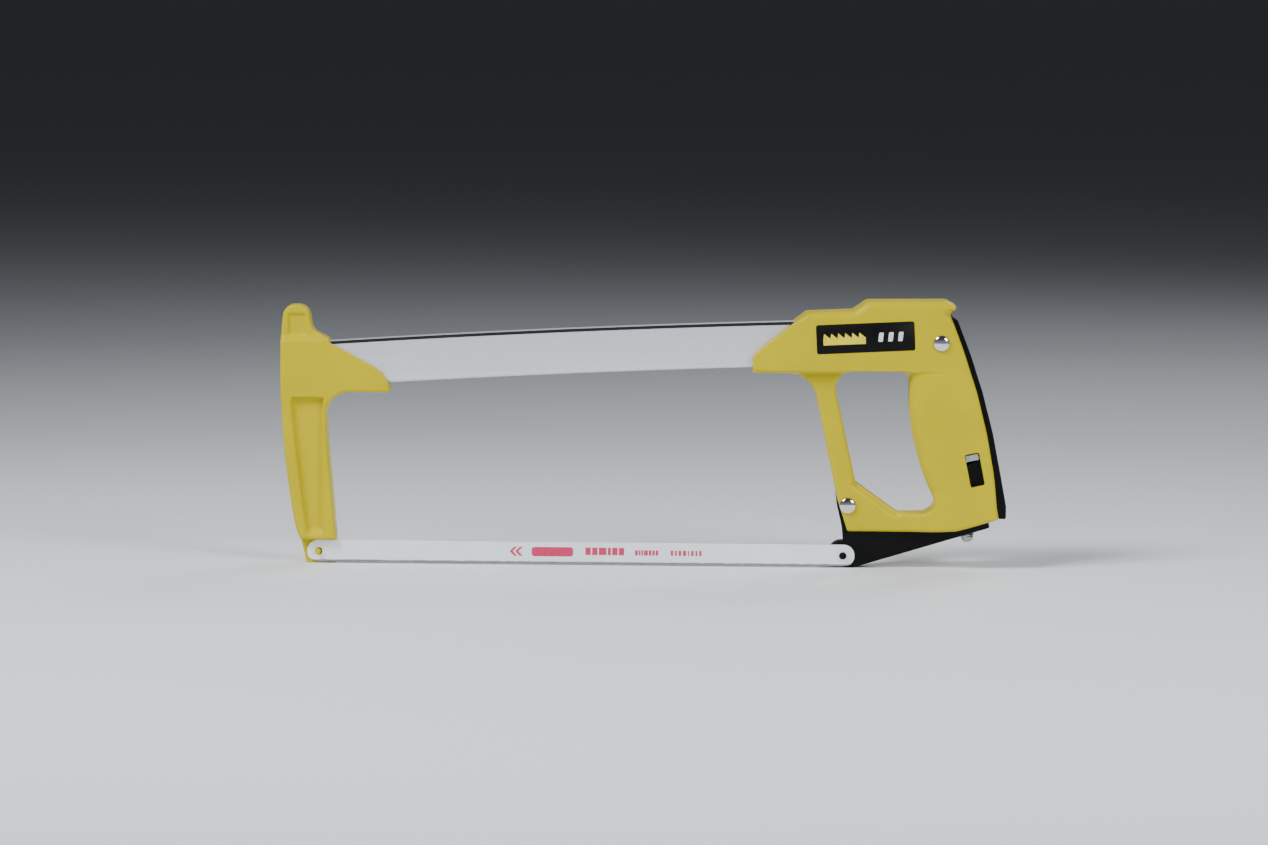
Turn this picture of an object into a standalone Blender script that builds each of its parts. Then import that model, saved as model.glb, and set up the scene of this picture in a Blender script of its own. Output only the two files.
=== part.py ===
"""High-tension hacksaw with a quick-release blade lever.

Frame: +X runs from the front bracket to the handle along the blade, +Y away from the side
that carries the blade, +Z up.  The saw stands on its front lug and on the tension arm, and
the origin is the bottom centre of its box.  Sizes are in millimetres; MM makes metres.

In the side view, points are measured from the front blade pin line: x from that pin and z
from the blade's centre line.  Behind the rear blade pin they are measured from that pin.
"""

from math import acos, asin, atan2, cos, degrees, hypot, pi, radians, sin, tan

import bmesh
import bpy
from mathutils import Matrix, Vector

MM = 0.001
FIT = 0.3                 # gap between two pieces that touch
ARC_STEP = radians(18)    # one facet of a rounded corner

# Overall sizes
HOLE_SPAN = 300.0         # front to rear blade pin
SPINE_HEIGHT = 106.9      # blade line to spine axis, above the front pin
SPINE_SLOPE = 0.072       # rise of the spine at its front end
SPINE_RADIUS = 6870.0     # the spine's gentle upward bow
FOOT_DEPTH = 6.8          # blade line to the surface the saw stands on

# Spine tube
TUBE_HEIGHT = 25.4
TUBE_WIDTH = 12.7
TUBE_WALL = 1.6
TUBE_CORNER = 2.2
TUBE_FRONT = -6.0         # front end of the tube
TUBE_REAR = -12.0         # rear end, from the rear pin
TUBE_STATIONS = 10        # straight stretches along the tube's bow

# Blade and its pins
BLADE_HEIGHT = 12.7
BLADE_THICKNESS = 0.64
BLADE_HOLE = 4.3
BLADE_END = 6.6           # radius of the blade's ends
TOOTH_PITCH = 1.058 * 3
TOOTH_DEPTH = 0.9
PIN_DIAMETER = 3.2
PIN_PROUD = 2.4           # how far a pin stands out of the blade
PIN_GAP = 0.12            # pin to hole on the side that pulls

# Front bracket
BRACKET_WALL = 3.35       # beside the tube
HORN_WIDTH = 15.0
LUG_BACK = 7.0            # Y of the lug's far face
POCKET_DEPTH = 2.4
BRACKET_REACH = 21.7      # front face, ahead of the front pin

# Handle
HANDLE_WALL = 5.0         # beside the lever
STRUT_WALL = 4.0          # beside the arm
WING_WALL = 3.85          # beside the tube
RIM = 0.8                 # bevel along the castings' rims
LABEL_LENGTH = 55.0
LABEL_HEIGHT = 16.2
LABEL_THICKNESS = 0.6

# Quick-release lever and the linkage inside the handle
LEVER_SHEET = 1.8
LEVER_PLAY = 0.5          # lever to the handle's side walls
LEVER_OPEN = 35.0         # degrees
LEVER_REACH = 90.9        # rearmost point of the lever, behind the rear pin
LEVER_TOP = 15.7          # radius of the lever's top end about its pivot
PIVOT_ROOM = 16.4         # radius of the cavity round it
CRANK_RADIUS = 6.2
CRANK_PIN = 3.0
PIVOT_SHANK = 4.4
RIVET_HEAD = 9.4
RIVET_RISE = 2.0
LINK_SHEET = 2.0
LINK_WIDTH = 6.2
LINK_PLAY = 0.6           # link to the lever's side
NUT_WALL = 1.5            # beside the thread
SCREW_DIAMETER = 5.0
SCREW_HEAD = 6.4
WASHER_DIAMETER = 8.0
WASHER_THICKNESS = 0.8
SEAT_CLEARANCE = 0.5      # arm to washer, which leans a little against the arm's face
WINDOW_WIDTH = 8.1
WINDOW_LENGTH = 19.0
GUIDE_WIDTH = 7.1
GUIDE_HEIGHT = 3.4

# Tension arm
ARM_SHEET = 2.2
ARM_BOSS = 7.7            # radius of the foot round the rear pin
ARM_EDGE = radians(16.9)  # slope of the arm's lower face
ARM_PLAY = 0.5            # arm to the handle's walls
SLOT_PLAY = 0.45          # screw to its slot in the arm
SLOT_SLIP = 1.9           # how far the slot slides past the screw as the lever opens
PASSAGE_PLAY = 1.1        # screw to its way through the handle

# What follows from those sizes
REAR = HOLE_SPAN
ARM_WIDTH = SCREW_DIAMETER + 2 * FIT + 2 * ARM_SHEET
STRUT_WIDTH = ARM_WIDTH + 2 * ARM_PLAY + 2 * STRUT_WALL
BRACKET_WIDTH = TUBE_WIDTH + 2 * FIT + 2 * BRACKET_WALL
WING_WIDTH = TUBE_WIDTH + 2 * FIT + 2 * WING_WALL
END_PLAY = FIT + TUBE_HEIGHT / 2 * SPINE_SLOPE     # tube's end to the socket's floor
BLADE_SEAT = -ARM_WIDTH / 2        # Y of the faces that the blade lies against
NUT_WIDTH = SCREW_DIAMETER + 2 * FIT + 2 * NUT_WALL
LINK_INNER = NUT_WIDTH / 2 + FIT
LINK_OUTER = LINK_INNER + LINK_SHEET
LEVER_WIDTH = 2 * (LINK_OUTER + LINK_PLAY + LEVER_SHEET)
HANDLE_WIDTH = LEVER_WIDTH + 2 * LEVER_PLAY + 2 * HANDLE_WALL


def spine_z(x):
    """Height of the spine's axis above the blade line."""
    return SPINE_HEIGHT + SPINE_SLOPE * x - x * x / (2 * SPINE_RADIUS)


FRONT_Z = spine_z(20.0)
REAR_Z = spine_z(REAR - 40.0)
ORIGIN_X = (REAR + LEVER_REACH - BRACKET_REACH) / 2


def high(dx, dz):
    """A point of the handle's top, tied to the spine."""
    return REAR + dx, REAR_Z + dz


def mid(dx, share):
    """A point of the grip, at a share of the spine's height."""
    return REAR + dx, REAR_Z * share


def low(dx, z):
    """A point near the blade, behind the rear pin."""
    return REAR + dx, z


PIVOT = high(53.9, 2.1)           # lever pivot
ARM_PIVOT = low(2.0, 29.3)        # tension arm pivot
SCREW_SEAT = low(70.3, 12.9)      # screw axis on the arm's lower face
HALF_SWING = radians(LEVER_OPEN / 2)
CRANK_REACH = CRANK_RADIUS * cos(HALF_SWING)
SEAT_GAP = hypot(SCREW_SEAT[0] - PIVOT[0], SCREW_SEAT[1] - PIVOT[1])
LINK_LEAN = atan2(SCREW_SEAT[0] - PIVOT[0], PIVOT[1] - SCREW_SEAT[1]) + asin(CRANK_REACH / SEAT_GAP)
DOWN = Vector((sin(LINK_LEAN), -cos(LINK_LEAN)))      # along the link, towards the screw head
BACK = Vector((cos(LINK_LEAN), sin(LINK_LEAN)))       # across the link, towards the lever
CRANK = Vector(PIVOT) - BACK * CRANK_REACH - DOWN * CRANK_RADIUS * sin(HALF_SWING)
WINDOW = Vector(mid(73.8, 0.4195))
NUT = Vector(SCREW_SEAT) - DOWN * (REAR_Z * 0.46 - SCREW_SEAT[1]) / cos(LINK_LEAN)


def from_nut(back, down):
    return NUT + BACK * back + DOWN * down


GUIDE = WINDOW - DOWN * (WINDOW_LENGTH / 2 - 0.6 - GUIDE_HEIGHT / 2) - BACK * 0.2
GUIDE_BACK = (GUIDE - NUT).dot(BACK)
GUIDE_DOWN = (GUIDE - NUT).dot(DOWN)
NUT_PIN = from_nut(0, -4.4)
PIN_OFFSET = (BLADE_HOLE - PIN_DIAMETER) / 2 - PIN_GAP
FRONT_HOLE_X = PIN_OFFSET          # the pins pull the holes' outer sides
REAR_HOLE_X = REAR - PIN_OFFSET

PARTS = None
CUTTERS = None


# ---------------------------------------------------------------- scene and materials

def new_collection(name):
    found = bpy.data.collections.new(name)
    bpy.context.scene.collection.children.link(found)
    return found


def material(name, color, roughness, metallic=0.0):
    made = bpy.data.materials.new(name)
    made.use_nodes = True
    shader = made.node_tree.nodes["Principled BSDF"]
    shader.inputs["Base Color"].default_value = (*color, 1.0)
    shader.inputs["Roughness"].default_value = roughness
    shader.inputs["Metallic"].default_value = metallic
    return made


def make_materials():
    return {
        "yellow": material("yellow_paint", (0.80, 0.66, 0.01), 0.35),
        "silver": material("silver_paint", (0.53, 0.56, 0.60), 0.3, 0.6),
        "black": material("black_paint", (0.01, 0.01, 0.01), 0.35),
        "label": material("black_label", (0.02, 0.015, 0.01), 0.5),
        "chrome": material("chrome", (0.8, 0.8, 0.8), 0.12, 1.0),
        "steel": material("steel", (0.55, 0.56, 0.58), 0.35, 1.0),
        "blade": material("blade_paint", (0.70, 0.76, 0.80), 0.4),
    }


# ---------------------------------------------------------------- shape helpers

def arc(center, radius, start, end):
    """Points from start to end, in degrees, about a centre."""
    start, end = radians(start), radians(end)
    count = max(2, round(abs(end - start) / ARC_STEP))
    angles = [start + (end - start) * i / count for i in range(count + 1)]
    return [(center[0] + radius * cos(a), center[1] + radius * sin(a)) for a in angles]


def rounded(corners):
    """The outline through these corners; a third value in a corner is its radius."""
    points = []
    for i, corner in enumerate(corners):
        here = Vector(corner[:2])
        if len(corner) < 3:
            points.append(tuple(here))
            continue
        to_last = (Vector(corners[i - 1][:2]) - here).normalized()
        to_next = (Vector(corners[(i + 1) % len(corners)][:2]) - here).normalized()
        opening = acos(max(-1.0, min(1.0, to_last.dot(to_next))))
        reach = corner[2] / tan(opening / 2)
        center = here + (to_last + to_next).normalized() * corner[2] / sin(opening / 2)
        first = here + to_last * reach - center
        last = here + to_next * reach - center
        turn = first.angle_signed(last)
        count = max(2, round(abs(turn) / ARC_STEP))
        for step in range(count + 1):
            spoke = Matrix.Rotation(-turn * step / count, 2) @ first
            points.append(tuple(center + spoke))
    return points


def circle(center, radius, count=32):
    angles = [2 * pi * i / count for i in range(count)]
    return [(center[0] + radius * cos(a), center[1] + radius * sin(a)) for a in angles]


def place(x, y, z):
    """World position of a point of the side view."""
    return Vector(((x - ORIGIN_X) * MM, y * MM, (z + FOOT_DEPTH) * MM))


def add_object(name, mesh, location, collection=None):
    made = bpy.data.objects.new(name, mesh)
    made.location = location
    (collection or PARTS).objects.link(made)
    if collection is CUTTERS:
        made.hide_render = True
        made.display_type = "WIRE"
    return made


def add_spline(curve, points, closed):
    spline = curve.splines.new("POLY")
    spline.points.add(len(points) - 1)
    spline.use_cyclic_u = closed
    for point, (x, y) in zip(spline.points, points):
        point.co = (x * MM, y * MM, 0, 1)


def mesh_of(drawn):
    """The welded mesh of a curve object, which is removed."""
    graph = bpy.context.evaluated_depsgraph_get()
    mesh = bpy.data.meshes.new_from_object(drawn.evaluated_get(graph))
    curve = drawn.data
    bpy.data.objects.remove(drawn)
    bpy.data.curves.remove(curve)
    shape = bmesh.new()
    shape.from_mesh(mesh)
    bmesh.ops.remove_doubles(shape, verts=shape.verts, dist=1e-6)
    bmesh.ops.recalc_face_normals(shape, faces=shape.faces)
    shape.to_mesh(mesh)
    shape.free()
    return mesh


def plate(name, outline, y0, y1, holes=(), pivot=(0.0, 0.0), collection=None):
    """A flat piece with this side view, from Y = y0 to y1; its origin is at the pivot."""
    curve = bpy.data.curves.new(name, "CURVE")
    curve.dimensions = "2D"
    curve.fill_mode = "BOTH"
    curve.extrude = (y1 - y0) / 2 * MM
    for loop in (outline, *holes):
        add_spline(curve, [(x - pivot[0], z - pivot[1]) for x, z in loop], True)
    drawn = bpy.data.objects.new(name + "_outline", curve)
    bpy.context.scene.collection.objects.link(drawn)
    mesh = mesh_of(drawn)
    mesh.name = name
    shape = bmesh.new()
    shape.from_mesh(mesh)
    bmesh.ops.dissolve_limit(shape, angle_limit=radians(0.05), verts=shape.verts, edges=shape.edges)
    bmesh.ops.rotate(shape, verts=shape.verts, matrix=Matrix.Rotation(pi / 2, 3, "X"))
    bmesh.ops.recalc_face_normals(shape, faces=shape.faces)
    shape.to_mesh(mesh)
    shape.free()
    location = place(pivot[0], (y0 + y1) / 2, pivot[1])
    return add_object(name, mesh, location, collection)


def box(name, center, y0, y1, along, length, width, collection=None):
    """A block with its length along a direction of the side view."""
    across = Vector((-along[1], along[0]))
    corners = [(-1, -1), (1, -1), (1, 1), (-1, 1)]
    outline = [Vector(center) + along * length / 2 * a + across * width / 2 * b for a, b in corners]
    return plate(name, outline, y0, y1, pivot=tuple(center), collection=collection)


def turned(name, profile, steps, location, axis, collection=None):
    """A round piece: (radius, height) from top to bottom, turned about an axis."""
    mesh = bpy.data.meshes.new(name)
    shape = bmesh.new()
    points = [shape.verts.new((r * MM, 0, h * MM)) for r, h in profile]
    for first, second in zip(points, points[1:]):
        shape.edges.new((first, second))
    shape.to_mesh(mesh)
    shape.free()
    made = add_object(name, mesh, location, collection)
    made.rotation_euler = Vector((0, 0, 1)).rotation_difference(axis).to_euler()
    screw = made.modifiers.new("Turn", "SCREW")
    screw.steps = steps
    screw.render_steps = steps
    screw.use_merge_vertices = True
    screw.merge_threshold = 1e-5
    return made


def across_bolt(name, center, profile, steps=24, collection=None):
    """A turned piece on an axis along Y through a point of the side view."""
    return turned(name, profile, steps, place(center[0], 0, center[1]), Vector((0, -1, 0)), collection)


def soften(obj, width, segments=1):
    """Rounds the rims of a plate and leaves the facets of its outline."""
    bevel = obj.modifiers.new("Rim", "BEVEL")
    bevel.width = width * MM
    bevel.segments = segments
    bevel.limit_method = "ANGLE"
    bevel.angle_limit = radians(50)
    return obj


def combine(obj, other, operation):
    boolean = obj.modifiers.new(other.name, "BOOLEAN")
    boolean.operation = operation
    boolean.solver = "EXACT"
    boolean.object = other
    return obj


def cut(obj, *cutters):
    for cutter in cutters:
        combine(obj, cutter, "DIFFERENCE")


def join(obj, *others):
    for other in others:
        combine(obj, other, "UNION")


def tool(name, outline, y0, y1):
    return plate(name, outline, y0, y1, collection=CUTTERS)


def bore(name, center, diameter, y0=-40.0, y1=40.0):
    return tool(name, circle(center, diameter / 2, 24), y0, y1)


def rivet(name, center, half_width, shank, head):
    """A rivet across the saw, with a dome on each face."""
    dome = [(head / 2 * sin(a), half_width + FIT + RIVET_RISE * cos(a)) for a in
            [pi / 2 * i / 4 for i in range(5)]]
    neck = [(head / 2, half_width + FIT), (shank / 2, half_width + FIT)]
    upper = dome[:-1] + neck
    lower = [(r, -h) for r, h in reversed(upper)]
    return across_bolt(name, center, upper + lower)


# ---------------------------------------------------------------- spine and front bracket

def spine_strip(x0, x1, half_height, count=10):
    """Side view of a strip that follows the spine's bow."""
    stations = [x0 + (x1 - x0) * i / count for i in range(count + 1)]
    below = [(x, spine_z(x) - half_height) for x in stations]
    above = [(x, spine_z(x) + half_height) for x in reversed(stations)]
    return below + above


def make_spine(paint):
    """A rectangular tube: its section follows the bowed axis, and Solidify adds the wall."""
    x0, x1 = TUBE_FRONT, REAR + TUBE_REAR
    half, rise = TUBE_WIDTH / 2, TUBE_HEIGHT / 2
    section = bpy.data.curves.new("tube_section", "CURVE")
    corners = [(-half, -rise), (half, -rise), (half, rise), (-half, rise)]
    add_spline(section, rounded([(x, y, TUBE_CORNER) for x, y in corners]), True)
    guide = add_object("tube_section", section, (0, 0, 0), CUTTERS)
    axis = bpy.data.curves.new("spine_tube", "CURVE")
    axis.dimensions = "3D"
    axis.twist_mode = "Z_UP"
    axis.bevel_mode = "OBJECT"
    axis.bevel_object = guide
    stations = [x0 + (x1 - x0) * i / TUBE_STATIONS for i in range(TUBE_STATIONS + 1)]
    spline = axis.splines.new("POLY")
    spline.points.add(TUBE_STATIONS)
    for point, x in zip(spline.points, stations):
        point.co = (*place(x, 0, spine_z(x)), 1)
    drawn = bpy.data.objects.new("spine_axis", axis)
    bpy.context.scene.collection.objects.link(drawn)
    mesh = mesh_of(drawn)
    tube = add_object("spine_tube", mesh, (0, 0, 0))
    wall = tube.modifiers.new("Wall", "SOLIDIFY")
    wall.thickness = TUBE_WALL * MM
    wall.offset = -1
    wall.use_even_offset = True
    tube.data.materials.append(paint)


def socket_tool(name, x0, x1):
    """The tube's seat in a casting; its closed end is clear of the tube's leaning end."""
    half = TUBE_WIDTH / 2 + FIT
    return tool(name, spine_strip(x0, x1, TUBE_HEIGHT / 2 + FIT), -half, half)


def bracket_side():
    """Side view of the bracket's leg and of the wings that hold the tube."""
    top = FRONT_Z
    ledge = BLADE_HEIGHT / 2 + 0.4
    return rounded([
        (-BRACKET_REACH, top + 12.5), (-BRACKET_REACH, top - 19.8), (-19.4, top * 0.543),
        (-16.5, top * 0.338), (-13.1, 16.1), (-9.9, ledge), (10.3, ledge), (8.0, top * 0.308),
        (5.4, top * 0.6), (4.4, top - 17.2, 13.0), (40.6, top - 16.9, 1.5), (40.0, top - 11.5),
        (36.5, top - 5.6), (32.0, top - 2.8), (6.8, top + 10.9), (5.4, top + 13.2, 1.0),
    ])


def make_bracket(paint):
    half = BRACKET_WIDTH / 2
    top = FRONT_Z
    bracket = soften(plate("front_bracket", bracket_side(), -half, half), RIM)
    horn = rounded([
        (-21.3, top + 5), (-21.1, top + 17.3), (-20.5, top + 24.2), (-18.2, top + 32.2, 2.0),
        (-7.6, top + 32.2, 1.5), (-5.1, top + 27.7), (-3.4, top + 20.9, 2.5),
        (4.8, top + 14.6, 1.0), (4.8, top + 5),
    ])
    horn_half = HORN_WIDTH / 2
    horn_block = soften(plate("horn", horn, -horn_half, horn_half, collection=CUTTERS), RIM)
    lug = rounded([
        (-11.2, 14.0), (-9.6, 5.8), (-7.9, -1.5), (-6.8, -FOOT_DEPTH, 1.2),
        (10.3, -FOOT_DEPTH, 1.2), (10.0, 14.0),
    ])
    lug_block = plate("lug", lug, BLADE_SEAT, LUG_BACK, collection=CUTTERS)
    join(bracket, horn_block, lug_block)
    leg_pocket = rounded([
        (-16.2, top - 20.9, 2.0), (-14.6, top * 0.5), (-8.9, 11.5, 1.5), (4.8, 11.5, 1.5),
        (2.6, top * 0.5), (1.6, top - 20.9, 2.0),
    ])
    horn_pocket = rounded([
        (-17.3, top + 15.5, 1.0), (-15.6, top + 28.0, 1.0), (-9.6, top + 28.0, 1.0),
        (-8.2, top + 15.5, 1.0),
    ])
    for side, name in ((-1, "near"), (1, "far")):
        floor = side * (half - POCKET_DEPTH)
        horn_floor = side * (horn_half - 1.0)
        cut(bracket, tool("leg_pocket_" + name, leg_pocket, *sorted((floor, side * 30))),
            tool("horn_pocket_" + name, horn_pocket, *sorted((horn_floor, side * 30))))
    cut(bracket, socket_tool("front_socket", TUBE_FRONT - END_PLAY, 60),
        bore("front_pin_hole", (0, 0), PIN_DIAMETER + 2 * FIT, BLADE_SEAT - 10, LUG_BACK - 4))
    bracket.data.materials.append(paint)


# ---------------------------------------------------------------- handle

def grip_back():
    """The grip's rear edge, from top to bottom, which the lever follows."""
    return [high(61.2, 11.9), high(70.9, -15.4), mid(77.7, 0.675), mid(82.9, 0.4765),
            mid(86.5, 0.25)]


def opening_side():
    """Side view of the finger opening."""
    return rounded([
        (*high(-8.1, -14.4), 10.0), (*high(36.1, -14.4), 4.5), mid(36.1, 0.70), mid(39.5, 0.53),
        mid(42.4, 0.445), mid(46.3, 0.3605), (*low(51.6, 30.5), 3.0), (*low(48.0, 25.1), 4.0),
        (*low(30.3, 25.1), 4.0), (*low(6.4, 42.2), 2.0),
    ])


def band_side():
    """Side view of the wide part: the wings on the tube, the top band and the grip."""
    return rounded([
        (*high(-52.9, -16.1), 1.2), (*high(-52.8, -6.6), 2.5), (*high(-43.8, 0.6), 4.0),
        (*high(-26.0, 16.0), 2.0), (*high(-22.5, 18.6), 1.5), (*high(3.0, 19.6), 3.0),
        (*high(11.0, 25.2), 3.0), (*high(57.8, 25.7), 2.0), (*high(62.7, 22.5), 1.2),
        high(58.6, 18.4), *grip_back(), (*low(87.9, 22.2), 1.5), low(79.5, 19.8),
        low(65.8, 15.8), low(50.0, 14.6), low(48.5, 30.0), mid(44.0, 0.36), mid(33.0, 0.7),
        high(33.0, -16.1),
    ])


def strut_side():
    """Side view of the narrow part: the front strut and the bottom bar."""
    return rounded([
        high(-38.0, -11.0), high(-38.0, -15.9), (*high(-19.2, -15.9), 16.0), low(-3.9, 32.7),
        (*low(2.0, 14.4), 2.5), low(54.0, 14.4), mid(58.0, 0.3), high(52.0, -11.0),
    ])


def lever_room():
    """Side view of the cavity that the lever and the linkage move in."""
    back_wall = [
        low(105.0, 24.5), low(54.0, 24.5), mid(51.0, 0.36), mid(47.2, 0.445), mid(42.0, 0.6),
        mid(40.5, 0.78),
    ]
    crown = arc(PIVOT, PIVOT_ROOM, 215, 52)
    return back_wall + crown + [high(100.0, 8.0)]


def arm_slot():
    return [
        low(-20.0, 37.4), low(8.9, 37.4), low(10.4, 31.0), low(26.0, 21.9), low(83.6, 21.9),
        low(83.6, -10.0), low(-20.0, -10.0),
    ]


def label_side(grow):
    slope = SPINE_SLOPE - (REAR + 11.6) / SPINE_RADIUS
    along = Vector((1, slope + 0.024)).normalized()
    across = Vector((-along[1], along[0]))
    center = Vector(high(11.6, 3.95))
    length = LABEL_LENGTH / 2 + grow
    height = LABEL_HEIGHT / 2 + grow
    corners = [(-1, -1), (1, -1), (1, 1), (-1, 1)]
    return rounded([(*(center + along * length * a + across * height * b), 0.8 + grow)
                    for a, b in corners])


def make_handle(paint):
    half = HANDLE_WIDTH / 2
    handle = soften(plate("handle", band_side(), -half, half), RIM)
    plan = bpy.data.meshes.new("handle_plan")
    shape = bmesh.new()
    wing = WING_WIDTH / 2
    stations = [(-70.0, wing), (-53.0, wing), (-22.0, half + 0.01), (120.0, half + 0.01)]
    rim = [(x, y) for x, y in stations] + [(x, -y) for x, y in reversed(stations)]
    corners = [shape.verts.new(place(REAR + x, y, -30)) for x, y in rim]
    swept = bmesh.ops.extrude_face_region(shape, geom=[shape.faces.new(corners)])
    raised = [v for v in swept["geom"] if isinstance(v, bmesh.types.BMVert)]
    bmesh.ops.translate(shape, verts=raised, vec=(0, 0, (REAR_Z + 80) * MM))
    bmesh.ops.recalc_face_normals(shape, faces=shape.faces)
    shape.to_mesh(plan)
    shape.free()
    combine(handle, add_object("handle_plan", plan, (0, 0, 0), CUTTERS), "INTERSECT")
    strut_half = STRUT_WIDTH / 2
    strut = plate("strut", strut_side(), -strut_half, strut_half, collection=CUTTERS)
    join(handle, soften(strut, RIM))
    cavity = LEVER_WIDTH / 2 + LEVER_PLAY
    slot = ARM_WIDTH / 2 + ARM_PLAY
    room = SCREW_DIAMETER / 2 + PASSAGE_PLAY
    passage = box("screw_passage", SCREW_SEAT, -room, room, DOWN, 40.0, 2 * room, CUTTERS)
    window = box("windows", WINDOW, -40, 40, DOWN, WINDOW_LENGTH, WINDOW_WIDTH, CUTTERS)
    cut(handle, tool("finger_opening", opening_side(), -40, 40),
        bore("pivot_bore", PIVOT, PIVOT_SHANK + 2 * FIT),
        bore("arm_pivot_bore", ARM_PIVOT, PIVOT_SHANK + 2 * FIT), window,
        socket_tool("rear_socket", REAR - 80, REAR + TUBE_REAR + END_PLAY),
        tool("lever_cavity", lever_room(), -cavity, cavity),
        tool("arm_slot", arm_slot(), -slot, slot), passage)
    depth = half - LABEL_THICKNESS - FIT
    for side, name in ((-1, "near"), (1, "far")):
        cut(handle, tool("label_seat_" + name, label_side(FIT), *sorted((side * depth, side * 40))))
    handle.data.materials.append(paint)


def make_labels(paint):
    half = HANDLE_WIDTH / 2
    for side, name in ((-1, "near"), (1, "far")):
        faces = sorted((side * half, side * (half - LABEL_THICKNESS)))
        plate("label_plate_" + name, label_side(0), *faces).data.materials.append(paint)


# ---------------------------------------------------------------- lever and linkage

def lever_edge(shift):
    """The lever's rear edge, moved forward by a shift."""
    return [high(63.2 - shift, 14.84), high(70.9 - shift, -5.1), high(77.7 - shift, -25.6),
            mid(84.0 - shift, 0.59), mid(88.0 - shift, 0.392), mid(LEVER_REACH - shift, 0.245),
            low(LEVER_REACH - shift, 25.0)]


def lever_side():
    notch = [from_nut(GUIDE_BACK + b, GUIDE_DOWN + d) for b, d in (
        (-12.0, 6.6), (4.3, 2.6), (4.3, -2.7), (-12.0, -2.7))]
    crank = (CRANK[0], CRANK[1])
    tongue = LEVER_REACH - LEVER_SHEET
    return [
        *arc(PIVOT, LEVER_TOP, 54.0, 78.0), high(48.0, 10.0), *arc(crank, 4.1, 110, 250),
        high(54.0, -8.0), high(62.0, -20.0), mid(64.5, 0.62), tuple(notch[3]), tuple(notch[2]),
        tuple(notch[1]), tuple(notch[0]), mid(71.5, 0.3), low(80.0, 25.6),
        low(tongue, 25.6), *rounded([low(tongue, 25.6), (*low(tongue, 21.0), 0.6),
                                     (*low(LEVER_REACH, 21.0), 1.2), low(LEVER_REACH, 25.6)])[1:-1],
        *reversed(lever_edge(0)[1:]),
    ]


def make_lever(paint):
    half = LEVER_WIDTH / 2
    lever = plate("tension_lever", lever_side(), -half, half, pivot=PIVOT)
    inner = half - LEVER_SHEET
    web = [*lever_edge(LEVER_SHEET)[1:-1], low(LEVER_REACH - LEVER_SHEET, 10.0),
           low(30.0, 10.0), high(20.0, 30.0), high(52.0, 30.0), high(61.4, 14.5)]
    shank = PIVOT_SHANK + 2 * FIT
    cut(lever, tool("lever_inside", web, -inner, inner), bore("lever_pivot_hole", PIVOT, shank),
        bore("crank_hole", CRANK, CRANK_PIN + 2 * FIT))
    lever.data.materials.append(paint)


def make_linkage(paints):
    steel = paints["steel"]
    pin_end = LEVER_WIDTH / 2 - 0.1
    pin = [(0, pin_end), (CRANK_PIN / 2, pin_end), (CRANK_PIN / 2, -pin_end), (0, -pin_end)]
    across_bolt("crank_pin", CRANK, pin).data.materials.append(steel)
    eye = CRANK_PIN + 2 * FIT
    lean = degrees(atan2(DOWN[1], DOWN[0]))
    link = (arc(NUT_PIN, LINK_WIDTH / 2, lean - 90, lean + 90)
            + arc(CRANK, LINK_WIDTH / 2, lean + 90, lean + 270))
    holes = [circle(CRANK, eye / 2, 16), circle(NUT_PIN, eye / 2, 16)]
    for side, name in ((-1, "near"), (1, "far")):
        faces = sorted((side * LINK_INNER, side * LINK_OUTER))
        made = plate("draw_link_" + name, link, *faces, holes=holes, pivot=tuple(CRANK))
        made.data.materials.append(steel)
    gap = LINK_INNER - FIT
    sleeve = LINK_WIDTH / 2 - 0.2
    spacer = [(sleeve, gap), (sleeve, -gap), (eye / 2, -gap), (eye / 2, gap), (sleeve, gap)]
    across_bolt("link_spacer", CRANK, spacer).data.materials.append(steel)
    end = LINK_OUTER - 0.1
    cross = [(0, end), (CRANK_PIN / 2, end), (CRANK_PIN / 2, -end), (0, -end)]
    across_bolt("nut_pin", NUT_PIN, cross).data.materials.append(steel)


def make_nut(paint):
    """The threaded block on the screw, with the cross-bar that slides in the windows."""
    half = NUT_WIDTH / 2
    body = [from_nut(b, d) for b, d in (
        (-4.6, -7.0), (4.6, -7.0), (4.6, GUIDE_DOWN - 2.4), (GUIDE_BACK - 2, GUIDE_DOWN - 2.4),
        (GUIDE_BACK - 2, GUIDE_DOWN + 2.4), (4.6, GUIDE_DOWN + 2.4), (4.6, 8.0), (-4.6, 8.0))]
    nut = plate("tension_nut", body, -half, half, pivot=tuple(NUT))
    reach = HANDLE_WIDTH / 2 - 0.6
    bar = box("guide_bar", GUIDE, -reach, reach, DOWN, GUIDE_HEIGHT, GUIDE_WIDTH, CUTTERS)
    join(nut, bar)
    thread = from_nut(0, 5.0)
    clear = SCREW_DIAMETER / 2 + FIT
    hole = turned("thread_hole", [(0, 6.0), (clear, 6.0), (clear, -6.0), (0, -6.0)], 24,
                  place(thread[0], 0, thread[1]), Vector((-DOWN[0], 0, -DOWN[1])), CUTTERS)
    cut(nut, hole, bore("nut_pin_hole", NUT_PIN, CRANK_PIN + 2 * FIT))
    nut.data.materials.append(paint)


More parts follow.
